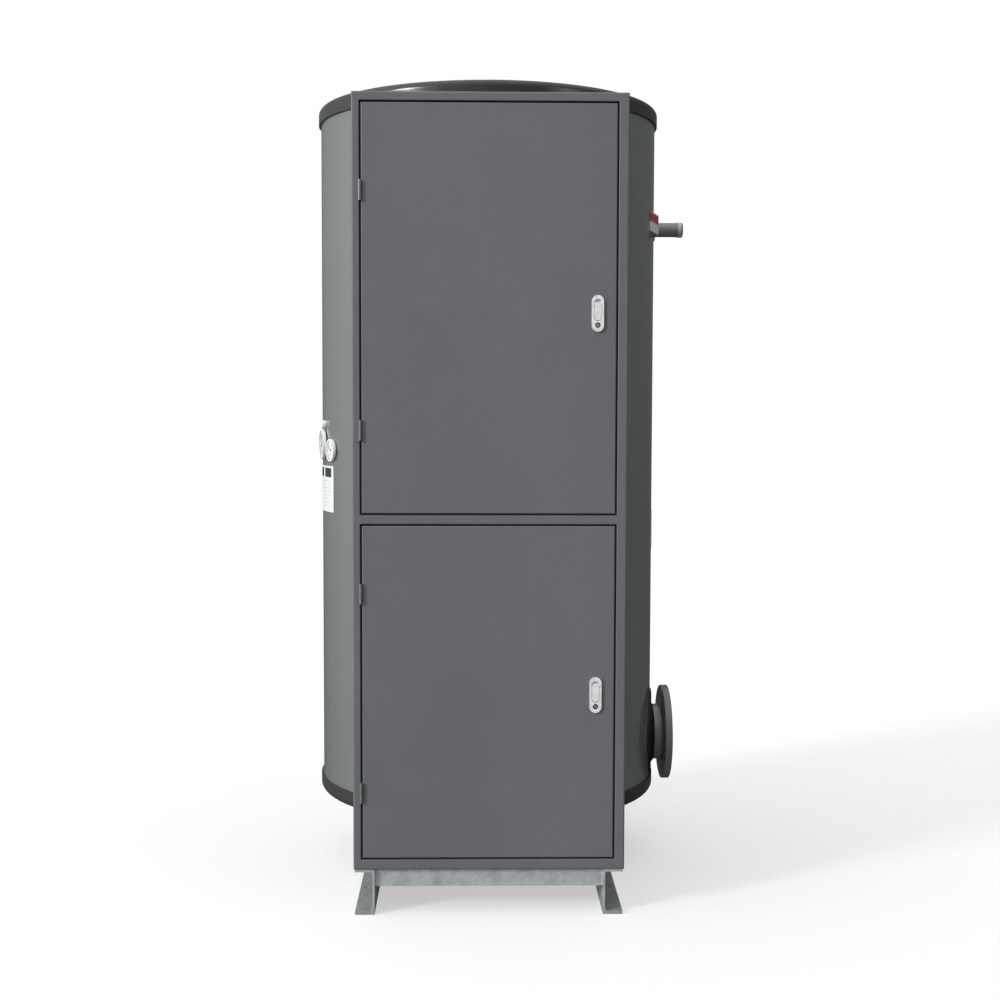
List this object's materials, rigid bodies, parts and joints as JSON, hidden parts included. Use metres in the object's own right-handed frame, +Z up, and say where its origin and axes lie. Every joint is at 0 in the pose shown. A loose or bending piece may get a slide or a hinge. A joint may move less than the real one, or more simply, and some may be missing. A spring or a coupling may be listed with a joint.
{
  "type": "commercial storage boiler",
  "caption": "Upright cylindrical commercial boiler with a full-height two-door service cabinet, side outlet flange and gauges, standing on channel skids.",
  "frame": {"origin": "on the floor under the jacket's axis, at the centre of the four anchor holes", "axes": "+Z up, -Y towards the front of the cabinet, +X out of the outlet flange"},
  "size_m": [1.0969, 1.1358, 2.252],
  "materials": {
    "jacket_paint": "satin powder coat",
    "ring_black": "satin black paint",
    "cabinet_paint": "satin powder coat, fine texture",
    "galvanised": "galvanised, mottled",
    "hinge_steel": "satin",
    "lock_metal": "satin plated zinc",
    "key_steel": "satin",
    "flange_black": "black painted steel",
    "collar_black": "matte rubber",
    "stub_steel": "galvanised, darkened",
    "tag_print": "printed vinyl, plain",
    "gauge_white": "white enamel",
    "plate_white": "satin, plain"
  },
  "bodies": {
    "boiler": {"jacket": "jacket_paint", "jacket_seam": "jacket_paint", "top_ring": "ring_black", "top_cover": "ring_black", "bottom_ring": "ring_black", "bottom_cover": "ring_black", "front_frame": "cabinet_paint", "cabinet_side_left": "cabinet_paint", "cabinet_side_right": "cabinet_paint", "cabinet_top": "cabinet_paint", "cabinet_floor": "cabinet_paint", "cabinet_rear_apron": "cabinet_paint", "skid_left": "galvanised", "skid_right": "galvanised", "front_crossbeam": "galvanised", "rear_crossbeam": "galvanised", "tank_leg_front_left": "galvanised", "tank_leg_front_right": "galvanised", "tank_leg_rear_left": "galvanised", "tank_leg_rear_right": "galvanised", "outlet_flange": "flange_black", "outlet_neck": "flange_black", "outlet_collar": "collar_black", "relief_stub": "stub_steel", "relief_collar": "stub_steel", "port_tag": "tag_print", "large_gauge": "gauge_white", "small_gauge": "gauge_white", "sensor_cap": "gauge_white", "nameplate": "plate_white", "side_plate": "plate_white", "upper_frame_hinges": "hinge_steel", "lower_frame_hinges": "hinge_steel"},
    "upper_door": {"upper_door": "cabinet_paint", "upper_door_hinges": "hinge_steel", "upper_lock": "lock_metal", "upper_key_cylinder": "key_steel", "upper_lock_cam": "key_steel"},
    "lower_door": {"lower_door": "cabinet_paint", "lower_door_hinges": "hinge_steel", "lower_lock": "lock_metal", "lower_key_cylinder": "key_steel", "lower_lock_cam": "key_steel"},
    "upper_paddle": {"upper_paddle": "lock_metal"},
    "lower_paddle": {"lower_paddle": "lock_metal"}
  },
  "joints": [
    {"name": "upper_door_hinge", "type": "hinge", "parent": "boiler", "child": "upper_door", "pos_m": [-0.343, -0.6246, 1.6268], "axis": [0, 0, -1], "range_deg": [0, 110]},
    {"name": "lower_door_hinge", "type": "hinge", "parent": "boiler", "child": "lower_door", "pos_m": [-0.343, -0.6246, 0.6063], "axis": [0, 0, -1], "range_deg": [0, 110]},
    {"name": "upper_paddle_hinge", "type": "hinge", "parent": "upper_door", "child": "upper_paddle", "pos_m": [0.284, -0.6235, 1.6455], "axis": [-1, 0, 0], "range_deg": [0, 35]},
    {"name": "lower_paddle_hinge", "type": "hinge", "parent": "lower_door", "child": "lower_paddle", "pos_m": [0.284, -0.6235, 0.629], "axis": [-1, 0, 0], "range_deg": [0, 35]}
  ]
}
